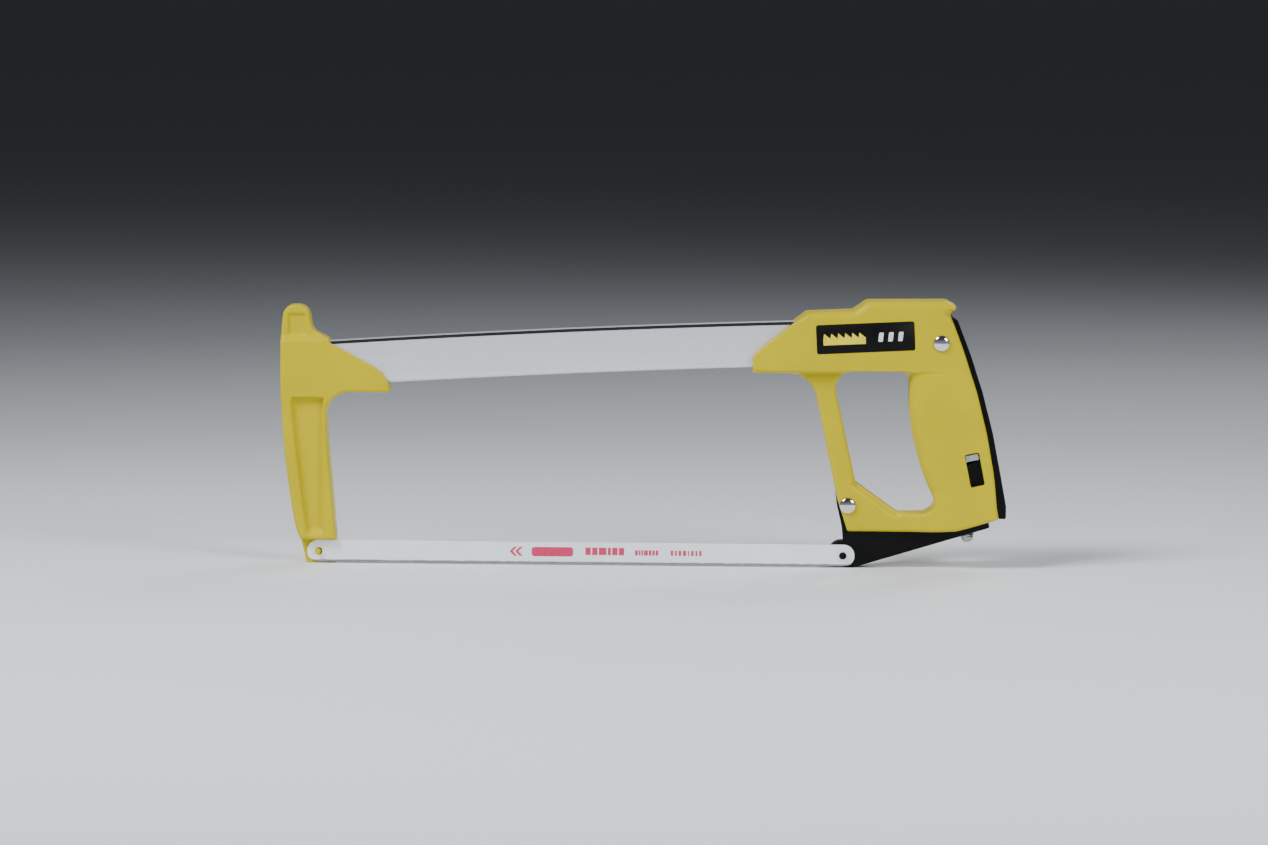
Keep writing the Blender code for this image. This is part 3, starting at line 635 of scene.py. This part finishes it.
def bracket_sculpt(outline):
    """The front bracket's half width at each side-view point."""
    top = FRONT_Z

    def sculpt(x, y, z):
        distance = edge_distance(x, z, outline)
        half = np.full(len(x), BRACKET_HALF)
        half -= 2.6 * step(z, top + 11.2, top + 15.8)
        radius = np.where(z > top + 14, 1.5, 1.9)
        half = round_rim(half, radius, distance)
        # the shallow dish in the horn
        dish = step(x, -17.8, -16.4) * step(-x, 7.0, 8.4)
        dish *= step(z, top + 14.4, top + 16.4) * step(-z, -(top + 28.0), -(top + 26.8))
        half -= 1.2 * dish
        # the long pocket in the leg
        share = np.clip((top - 20.3 - z) / (top - 32), 0, 1)
        left = -16.1 + 9.0 * share ** 1.25
        pocket = step(x - left, 0.0, 2.2) * step(3.7 - x, 0.0, 1.8)
        pocket *= step(top - 19.6 - z, 0.0, 1.7) * step(z, 7.6, 14.5)
        half -= 3.1 * pocket
        # a second, fainter step along the pocket's inner side
        half -= 0.35 * step(x - 3.9, 0.0, 0.6) * step(top - 21 - z, 0, 3) * step(z, 9, 12)
        inner = np.where(z > top + 13.5, 2.0, 6.7)
        return widened(y, inner, BRACKET_HALF, half)

    return sculpt


def make_bracket(material):
    outline = bracket_outline()
    bracket = plate("front_casting", outline, -BRACKET_HALF, BRACKET_HALF)
    cut(bracket, spine_room(-7.2, 60))
    cast(bracket, bracket_sculpt(outline))
    lug = rounded([
        (-10.8, 12.0), (-9.6, 5.8), (-7.9, -1.5, 8.0), (-6.8, -FOOT, 0.8), (10.3, -FOOT, 0.8),
        (10.1, 12.0),
    ])
    lug_block = rim(plate("lug", lug, LUG_SEAT, LUG_BACK), 0.5)
    cut(lug_block, plate("pin_hole", circle((0, 0), PIN_HOLE_RADIUS), LUG_SEAT - 5, LUG_SEAT + 7))
    combine(bracket, lug_block, "UNION")
    finish_piece(bracket, material, "frame", "yellow_paint", "front_bracket")


# ---------------------------------------------------------------- handle

def grip_back():
    return eased([high(61.2, 11.9), high(66.3, -1.5), high(70.9, -15.4), mid(74.4, 0.785),
                  mid(77.8, 0.675), mid(80.6, 0.58), mid(82.9, 0.4765), mid(84.9, 0.38),
                  mid(86.5, 0.25)])


def opening_outline():
    back = eased([mid(36.1, 0.80), mid(36.3, 0.70), mid(37.4, 0.62), mid(39.6, 0.53),
                  mid(42.5, 0.445), mid(46.2, 0.3605), low(49.4, 36.5)])
    return rounded([
        (*high(-8.1, -14.4), 10.5), (*high(36.1, -14.4), 5.0), *back,
        (*low(52.4, 29.0), 4.5), (*low(45.5, 25.1), 5.0), (*low(30.3, 25.1), 5.0),
        (*low(6.4, 42.2), 1.6),
    ])


def band_top():
    """From the wings' front end over the top and down the grip to its rear bottom corner."""
    return [
        (*high(-52.9, -16.1), 0.8), (*high(-52.9, -6.2), 5.0), (*high(-43.8, 1.6), 6.0),
        (*high(-26.9, 15.1), 3.0), (*high(-22.9, 18.5), 2.0), (*high(3.6, 19.7), 4.0),
        (*high(11.6, 25.3), 5.0), (*high(56.9, 25.8), 3.5), (*high(63.2, 22.4), 1.4),
        (*high(58.5, 18.6), 0.6), *grip_back(), (*low(87.8, 22.3), 1.2), low(79.5, 19.9),
        low(72.0, 17.6), (*low(64.0, 15.4), 12.0), (*low(50.0, 14.6), 6.0),
    ]


def strut_front():
    """From the bottom bar up the strut's front to the band."""
    return [
        (*low(1.9, 14.4), 1.4), (*low(-4.2, 33.5), 6.0), (*high(-19.4, -15.9), 17.0),
        high(-38.0, -15.9),
    ]


def band_outline():
    return rounded([*band_top(), low(33.0, 14.4), high(33.0, -16.1)])


def strut_outline():
    return rounded([*strut_front(), high(-38.0, -11.0), high(52.0, -11.0), mid(58.0, 0.3),
                    low(54.0, 14.4)])


def lever_room():
    back_wall = [low(105.0, 24.5), low(54.0, 24.5), mid(51.0, 0.36), mid(47.2, 0.445),
                 mid(42.0, 0.6), mid(40.5, 0.78)]
    return back_wall + arc(PIVOT, 16.4, 215, 52) + [high(100.0, 8.0)]


def arm_slot():
    return [low(-20.0, 37.0), low(8.9, 37.0), low(10.4, 31.0), low(26.0, 21.9),
            low(83.6, 21.9), low(83.6, -10.0), low(-20.0, -10.0)]


def tilted_box(name, center, half_long, half_wide, half_deep):
    """A block across the saw, long along the screw's leaning axis."""
    down = Vector((sin(LINK_LEAN), -cos(LINK_LEAN)))
    across = Vector((cos(LINK_LEAN), sin(LINK_LEAN)))
    corners = [(-1, -1), (1, -1), (1, 1), (-1, 1)]
    outline = [tuple(Vector(center) + down * half_long * a + across * half_wide * b)
               for a, b in corners]
    return plate(name, outline, -half_deep, half_deep)


STRUT_HALF = 9.5
CAVITY_HALF = 9.5
SLOT_HALF = 5.5
WING_HALF = 10.5          # at the wings' front end
FINGER_HALF = 9.65        # at the grip's front face
GRIP_DEPTH = 17.0         # from the finger opening to the grip's full width
WIDE_FROM = 33.1          # the grip is wide behind this, from the rear pin
LEDGE = -15.7             # the top band's lower edge, from the spine's axis
OPENING_RADIUS = 2.4      # rim of the finger opening
SIDE_RADIUS = 1.8         # rim of the strut and the bottom bar
CHAMFER_WIDTH = 3.7       # chamfer along the bottom bar's side of the opening
CHAMFER_SLOPE = 0.75
CHAMFER_TOP, CHAMFER_FOOT = 42.2, 25.1
RIVET_BORE = 2.6
WINDOW_LONG, WINDOW_WIDE = 9.5, 4.05    # half sizes
PASSAGE_HALF = 3.6


def grip_front(z):
    """x of the finger opening's rear side, and of the grip's blend below it."""
    heights = np.array([14, 25, 36.5, 0.3605 * REAR_Z, 0.445 * REAR_Z, 0.53 * REAR_Z,
                        0.62 * REAR_Z, 0.70 * REAR_Z, 0.80 * REAR_Z, REAR_Z])
    places = REAR + np.array([31, 39, 49.4, 46.2, 42.5, 39.6, 37.4, 36.3, 36.1, 36.1])
    return np.interp(z, heights, places)


def handle_sculpt(silhouette, opening):
    """The handle's half width at each side-view point."""
    def sculpt(x, y, z):
        outer = edge_distance(x, z, silhouette)
        inner = edge_distance(x, z, opening)
        ledge = REAR_Z + LEDGE
        # wide part: tapered wings, the band, and a grip that thins towards the fingers
        wing = WING_HALF + (HANDLE_HALF - WING_HALF) * step(x, REAR - 55, REAR - 20)
        depth = np.clip((x - grip_front(z)) / GRIP_DEPTH, 0, 1)
        swell = np.sqrt(np.maximum(1 - (1 - depth) ** 2.4, 0))
        grip = FINGER_HALF + (HANDLE_HALF - FINGER_HALF) * swell
        bar = STRUT_HALF + (HANDLE_HALF - STRUT_HALF) * step(x, REAR + 33, REAR + 60)
        above = step(z, 21, 40)
        grip = grip * above + bar * (1 - above)
        blend = step(x - (REAR + 36), 6.0, 26.0)
        ledge_rim = round_rim(0.0, 2.0, np.clip(z - ledge, 0, 9)) * (1 - blend)
        band = np.where(z > ledge, wing + ledge_rim, grip)
        radius = 1.2 + 3.6 * step(z, REAR_Z + 12, REAR_Z + 19)
        radius = np.where(x > REAR + 60, np.minimum(radius, 2.4), radius)
        radius = np.where(z < 30, SIDE_RADIUS, radius)
        wide = round_rim(band, radius, outer)
        rim_in = np.where(z < ledge + 1, OPENING_RADIUS, 0.1)
        core = np.where((inner < 3.6) | (z < 23.5), SLOT_HALF + 0.3, CAVITY_HALF)
        wide = np.maximum(round_rim(wide, rim_in, inner), core + 0.15)
        is_wide = (x > REAR + WIDE_FROM) | (z > ledge - 0.4)
        # narrow part: the strut and the bottom bar
        narrow = round_rim(np.full(len(x), STRUT_HALF), SIDE_RADIUS, outer)
        narrow = round_rim(narrow, OPENING_RADIUS, inner)
        along = (z - CHAMFER_TOP) / (CHAMFER_FOOT - CHAMFER_TOP)
        chamfer = step(along, -0.05, 0.05) * step(REAR + 34 - x, 0.0, 5.0)
        slope = CHAMFER_SLOPE * np.clip(CHAMFER_WIDTH - inner, 0, CHAMFER_WIDTH)
        narrow -= slope * chamfer * step(inner, 0.0, 0.4)
        moved_wide = widened(y, core, HANDLE_HALF, wide)
        moved_narrow = widened(y, SLOT_HALF + 0.2, STRUT_HALF, narrow)
        moved_narrow = np.clip(moved_narrow, -narrow, narrow)
        return np.where(is_wide, moved_wide, moved_narrow)

    return sculpt


def make_handle(material):
    band, strut, opening = band_outline(), strut_outline(), opening_outline()
    handle = plate("handle_casting", band, -HANDLE_HALF, HANDLE_HALF)
    combine(handle, plate("strut", strut, -STRUT_HALF, STRUT_HALF), "UNION")
    half = HANDLE_HALF + 5
    cut(handle, plate("opening", opening, -half, half),
        plate("pivot_bore", circle(PIVOT, RIVET_BORE, 32), -half, half),
        plate("arm_pivot_bore", circle(ARM_PIVOT, RIVET_BORE, 32), -half, half),
        tilted_box("window", mid(73.8, 0.4195), WINDOW_LONG, WINDOW_WIDE, half),
        spine_room(REAR - 80, REAR - 11),
        plate("cavity", lever_room(), -CAVITY_HALF, CAVITY_HALF),
        plate("slot", arm_slot(), -SLOT_HALF, SLOT_HALF),
        tilted_box("passage", low(70.3, 12.9), 20, PASSAGE_HALF, PASSAGE_HALF))
    silhouette = rounded([*band_top(), *strut_front()])
    cast(handle, handle_sculpt(silhouette, opening))
    finish_piece(handle, material, "frame", "yellow_paint", "handle")


# ---------------------------------------------------------------- label and prints

LABEL_TILT = radians(2.9)
LABEL_CENTER = high(10.8, 4.9)


def label_point(u, v):
    """A point of the label: u along it and v up, from its middle."""
    return (LABEL_CENTER[0] + u * cos(LABEL_TILT) - v * sin(LABEL_TILT),
            LABEL_CENTER[1] + u * sin(LABEL_TILT) + v * cos(LABEL_TILT))


def label_shape(corners):
    return rounded([(*label_point(c[0], c[1]), *c[2:]) for c in corners])


def make_label(side, name, black, yellow, white):
    """A plain label: saw teeth over a bar, and three strokes."""
    outer = side * (HANDLE_HALF + 0.12)
    sheet = sorted((side * (HANDLE_HALF - 0.5), outer))
    w, h = 27.9, 8.3
    frame_shape = label_shape([(-w, -h, 1.3), (w, -h, 1.3), (w, h, 1.3), (-w, h, 1.3)])
    base = rim(plate("label_" + name, frame_shape, *sheet), 0.05, 1)
    finish_piece(base, black, "frame", "black_label", "label_plate_" + name)
    ink = sorted((side * HANDLE_HALF, outer + side * 0.03))
    turn = -side                        # the far side reads from the other way
    teeth = [(-24.0, -3.4), (-24.0, 0.2)]
    for i in range(6):
        teeth += [(-23.4 + 4.0 * i, 3.2), (-20.0 + 4.0 * i, 0.2)]
    teeth += [(0.0, -3.4)]
    mark = plate("label_teeth_" + name, [label_point(u * turn, v) for u, v in teeth], *ink)
    finish_piece(mark, yellow, "frame", "black_label")
    strokes = []
    for i in range(3):
        u = 7.0 + 5.6 * i
        corners = [(u, -2.6, 0.5), (u + 2.6, -2.6, 0.5), (u + 3.4, 2.6, 0.5), (u + 0.8, 2.6, 0.5)]
        strokes.append(label_shape([(a * turn, b, r) for a, b, r in corners]))
    for i, outline in enumerate(strokes):
        stroke = plate(f"label_stroke_{name}_{i}", outline, *ink)
        finish_piece(stroke, white, "frame", "black_label")


# ---------------------------------------------------------------- blade

TOOTH_PITCH = 25.4 / 24   # 24 teeth to the inch
TOOTH_DEPTH = 0.62
TOOTH_SET = 0.16          # how far the tips lean to each side
SET_WAVE = 8.5
SET_LINE = -5.6           # the lean starts here
SET_FADE = 0.75
HOLE_RADIUS = 2.15
HOLE_SLACK = 0.43         # the holes sit in from the pins by this much


def blade_outline():
    """The blade's outline with its full count of teeth."""
    pitch, depth = TOOTH_PITCH, TOOTH_DEPTH
    half = (BLADE_HI[2] - BLADE_LO[2]) / 2 / MM
    x0 = (BLADE_LO[0] - FRONT_PIN.x) / MM
    x1 = (BLADE_HI[0] - FRONT_PIN.x) / MM
    count = int((x1 - x0 - 11.0) / pitch)
    start = (x0 + x1 - count * pitch) / 2
    points = []
    for i in range(count):
        foot = start + i * pitch
        points += [(foot, -half + depth), (foot + 0.08 * pitch, -half)]
    points.append((start + count * pitch, -half + depth))
    foot = -half + depth
    return points + rounded([(x1, foot, 5.4), (x1, half, 6.0), (x0, half, 6.0), (x0, foot, 5.4)])


def blade_arrow(tip):
    """A bold arrowhead that points forward, the way the blade cuts."""
    return [(tip, 0.9), (tip + 2.6, 3.5), (tip + 4.4, 3.5), (tip + 1.8, 0.9), (tip + 4.4, -1.7),
            (tip + 2.6, -1.7)]


def blade_bars(left, widths, gap, height):
    """A row of upright bars standing on one line."""
    bars = []
    for width in widths:
        bars.append([(left, -0.9), (left + width, -0.9), (left + width, height - 0.9),
                     (left, height - 0.9)])
        left += width + gap
    return bars


def make_blade(paint, ink):
    near = BLADE_LO[1] / MM
    far = BLADE_HI[1] / MM
    holes = [circle((x, 0), HOLE_RADIUS) for x in (HOLE_SLACK, REAR - HOLE_SLACK)]
    blade = plate("blade_strip", blade_outline(), near, far, holes=holes)
    set_teeth(blade)
    finish_piece(blade, paint, "blade", "blade_paint", "blade")
    ink_y = (near - 0.02, near + 0.05)
    marks = [blade_arrow(109.4 + 3.2 * i) for i in range(2)]
    marks.append(rounded([(122.0, -1.9, 1.6), (145.7, -1.9, 1.6), (145.7, 3.5, 1.6),
                          (122.0, 3.5, 1.6)]))
    marks += blade_bars(152.7, (3.1, 3.1, 4.4, 1.8, 3.1, 3.0), 0.72, 4.3)
    marks += blade_bars(181.0, (1.7, 0.9, 1.1, 2.2, 1.5, 1.4, 1.5), 0.5, 3.0)
    marks += blade_bars(201.4, (1.4, 1.1, 1.5, 1.8, 0.8, 1.5, 1.1, 1.4), 1.0, 3.0)
    for i, outline in enumerate(marks):
        mark = plate(f"blade_mark_{i:02d}", outline, *ink_y)
        finish_piece(mark, ink, "blade", "blade_paint")


def set_teeth(blade):
    """The wavy set: the tooth tips lean to one side and then the other."""
    for vertex in blade.data.vertices:
        x, z = side_view(vertex.co)
        down = min(max((SET_LINE - z) / SET_FADE, 0.0), 1.0)
        vertex.co.y += down * TOOTH_SET * MM * sin(2 * pi * x / SET_WAVE)


# ---------------------------------------------------------------- lever, arm, small parts

FOOT_GROWTH = 1.2         # extra thickness of the lever's folded foot


def make_lever(material):
    """The pressed channel behind the grip, with a thicker folded foot than the plain solid's."""
    node = bpy.data.objects["tension_lever"]
    lever = link_object("lever_channel", node.data.copy())
    lever.data.transform(node.matrix_world)
    reach = (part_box("tension_lever")[1][0] - FRONT_PIN.x) / MM
    heights = (25.0, 0.245 * REAR_Z, 0.392 * REAR_Z, 0.59 * REAR_Z)
    edges = (reach, reach, REAR + 88.0, REAR + 84.0)
    for vertex in lever.data.vertices:
        x, z = side_view(vertex.co)
        if x > np.interp(z, heights, edges) - 1.4 and z < heights[3] + 1:
            vertex.co.x += float(step(-z, -heights[3], -heights[1])) * FOOT_GROWTH * MM
        if reach - 3 < x < reach - 1.4 and z < 25.8:
            vertex.co.x -= FOOT_GROWTH * MM
        if x > reach - 3 and z < 23:
            vertex.co.z += 1.3 * MM
    soften_node(lever, 0.35)
    finish_piece(lever, material, "lever", "black_paint", "tension_lever")


def soften_node(node, width):
    """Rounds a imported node's edges for the render; its mesh stays as it is."""
    weld = node.modifiers.new("Weld", "WELD")
    weld.merge_threshold = 0.00001
    bevel_edges(node, width, 2)


def finish_node(name, material):
    """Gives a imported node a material."""
    node = bpy.data.objects[name]
    if node.data.materials:
        for i in range(len(node.data.materials)):
            node.material_slots[i].material = material
    else:
        node.data.materials.append(material)


def make_rivet(name, center, half_width, material, node):
    """A shank with a dome on each side."""
    rise, head, shank = 2.0, 4.7, 2.2
    base = half_width + 0.3
    dome = [(head * sin(a), base + rise * cos(a)) for a in [pi / 2 * i / 12 for i in range(12)]]
    upper = dome + [(head, base), (head - 0.15, base - 0.12), (shank, base - 0.12)]
    profile = upper + [(r, -h) for r, h in reversed(upper)]
    made = turned(name, profile, place(center[0], 0, center[1]), (0, -1, 0))
    finish_piece(made, material, "frame", "chrome", node)


def make_screw(material):
    """The tension screw with its thread, round head and washer, on the washer's axis."""
    washer = middle("screw_washer")
    length = (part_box("tension_screw")[1][2] - washer.z) / MM / cos(LINK_LEAN) - 0.6
    pitch, crest, root = 0.8, 2.5, 2.1
    washer_radius, head_radius, head_depth = 4.0, 3.35, 4.0
    thread = [(0, length), (root, length)]
    for i in range(int((length - 12) / pitch)):
        height = length - 0.4 - pitch * i
        thread += [(crest, height), (root, height - pitch / 2)]
    ring = [(crest, 0.4), (3.85, 0.4), (washer_radius, 0.25), (washer_radius, -0.25), (3.85, -0.4),
            (3.3, -0.4)]
    head = [(head_radius, -0.6), (head_radius, -1.5)]
    head += [(head_radius * cos(a), -1.5 - 2.5 * sin(a))
             for a in [pi / 2 * i / 10 for i in range(1, 10)]]
    upwards = (-sin(LINK_LEAN), 0, cos(LINK_LEAN))
    screw = turned("screw", thread + ring + head + [(0, -head_depth)], washer, upwards)
    finish_piece(screw, material, "screw", "chrome", "tension_screw", "screw_washer")


# ---------------------------------------------------------------- studio

CAMERA_ELEVATION = radians(5.5)
CAMERA_AZIMUTH = radians(0.6)
CAMERA_ROLL = radians(0.48)
CAMERA_DISTANCE = 3.0
SENSOR_WIDTH = 36
SAW_SHARE = 0.57019       # the saw's share of the view's width
CAMERA_ASIDE = 0.0067     # offsets from the saw's middle, as shares of that width
CAMERA_RISE = 0.00686
FLOOR_RADIUS = 40
LIGHT_TARGET = Vector((0, 0, 0.06))
LIGHTS = (                # name, place, size in metres, watts
    ("key", (-1.5, -1.1, 2.0), (0.9, 0.9), 80),
    ("fill", (1.7, -1.6, 1.3), (1.0, 1.0), 40),
    ("back", (0.9, 1.5, 1.4), (0.9, 0.7), 16),
)


def make_camera():
    """Nearly square-on to the blade's side, a little above it, with a long lens."""
    lo, hi = cad_box
    target = Vector(((lo[0] + hi[0]) / 2, 0, (lo[2] + hi[2]) / 2))
    away = Vector((sin(CAMERA_AZIMUTH) * cos(CAMERA_ELEVATION),
                   -cos(CAMERA_AZIMUTH) * cos(CAMERA_ELEVATION), sin(CAMERA_ELEVATION)))
    view_width = (hi[0] - lo[0]) / SAW_SHARE
    data = bpy.data.cameras.new("camera")
    data.sensor_width = SENSOR_WIDTH
    data.lens = SENSOR_WIDTH * CAMERA_DISTANCE / view_width
    camera = bpy.data.objects.new("camera", data)
    bpy.context.scene.collection.objects.link(camera)
    look = (-away).to_track_quat("-Z", "Y").to_matrix()
    right, up = look @ Vector((1, 0, 0)), look @ Vector((0, 1, 0))
    aside = (up * CAMERA_RISE - right * CAMERA_ASIDE) * view_width
    camera.location = target + away * CAMERA_DISTANCE + aside
    camera.rotation_euler = (look @ Matrix.Rotation(CAMERA_ROLL, 3, "Z")).to_euler()
    bpy.context.scene.camera = camera


def make_floor():
    """A wide pale floor."""
    bpy.ops.mesh.primitive_circle_add(vertices=64, radius=FLOOR_RADIUS, fill_type="NGON")
    floor = bpy.context.object
    floor.name = "floor"
    floor.data.materials.append(floor_paper())


def make_room():
    """A room that gets darker overhead."""
    world = bpy.data.worlds.new("room")
    world.use_nodes = True
    tree = world.node_tree
    coordinates = tree.nodes.new("ShaderNodeTexCoord")
    split = tree.nodes.new("ShaderNodeSeparateXYZ")
    tree.links.new(coordinates.outputs["Generated"], split.inputs[0])
    ramp = tree.nodes.new("ShaderNodeValToRGB")
    tree.links.new(split.outputs[2], ramp.inputs["Fac"])
    stops = ramp.color_ramp.elements
    stops[0].position, stops[0].color = 0.0, (0.30, 0.31, 0.34, 1)
    stops[1].position, stops[1].color = 0.45, (0.05, 0.052, 0.06, 1)
    tree.links.new(ramp.outputs["Color"], tree.nodes["Background"].inputs["Color"])
    bpy.context.scene.world = world


def make_lights():
    for name, spot, size, power in LIGHTS:
        data = bpy.data.lights.new(name, "AREA")
        data.shape = "RECTANGLE"
        data.size, data.size_y = size
        data.energy = power
        light = bpy.data.objects.new(name, data)
        bpy.context.scene.collection.objects.link(light)
        light.location = spot
        light.visible_camera = False
        aim = LIGHT_TARGET - Vector(spot)
        light.rotation_euler = aim.to_track_quat("-Z", "Y").to_euler()


def main():
    yellow = yellow_powder_coat()
    black = black_paint("black_paint", 0.3)
    chrome = bright_plate("bright_plate", 0.76, 0.2)
    steel = bare_steel()
    make_camera()
    make_floor()
    make_room()
    make_lights()
    make_spine(silver_lacquer(), painted_reflection_corner())
    make_bracket(yellow)
    make_handle(yellow)
    sheet = black_paint("label_sheet", 0.42)
    label_yellow = print_ink("label_yellow", srgb(240, 220, 40))
    label_white = print_ink("label_white", srgb(235, 235, 235))
    make_label(-1, "near", sheet, label_yellow, label_white)
    make_label(1, "far", sheet, label_yellow, label_white)
    make_blade(blade_paint(), print_ink("blade_red", srgb(214, 48, 96)))
    make_lever(black)
    soften_node(bpy.data.objects["tension_arm"], 0.35)
    finish_node("tension_arm", black)
    make_rivet("upper_rivet", PIVOT, HANDLE_HALF, chrome, "upper_pivot_rivet")
    make_rivet("lower_rivet", ARM_PIVOT, STRUT_HALF, chrome, "lower_pivot_rivet")
    finish_node("front_blade_pin", yellow)
    finish_node("rear_blade_pin", black)
    for name in ("crank_pin", "link_spacer", "draw_link_near", "draw_link_far", "nut_pin",
                 "tension_nut"):
        finish_node(name, steel)
    make_screw(bright_plate("zinc_plate", 0.42, 0.12))


main()
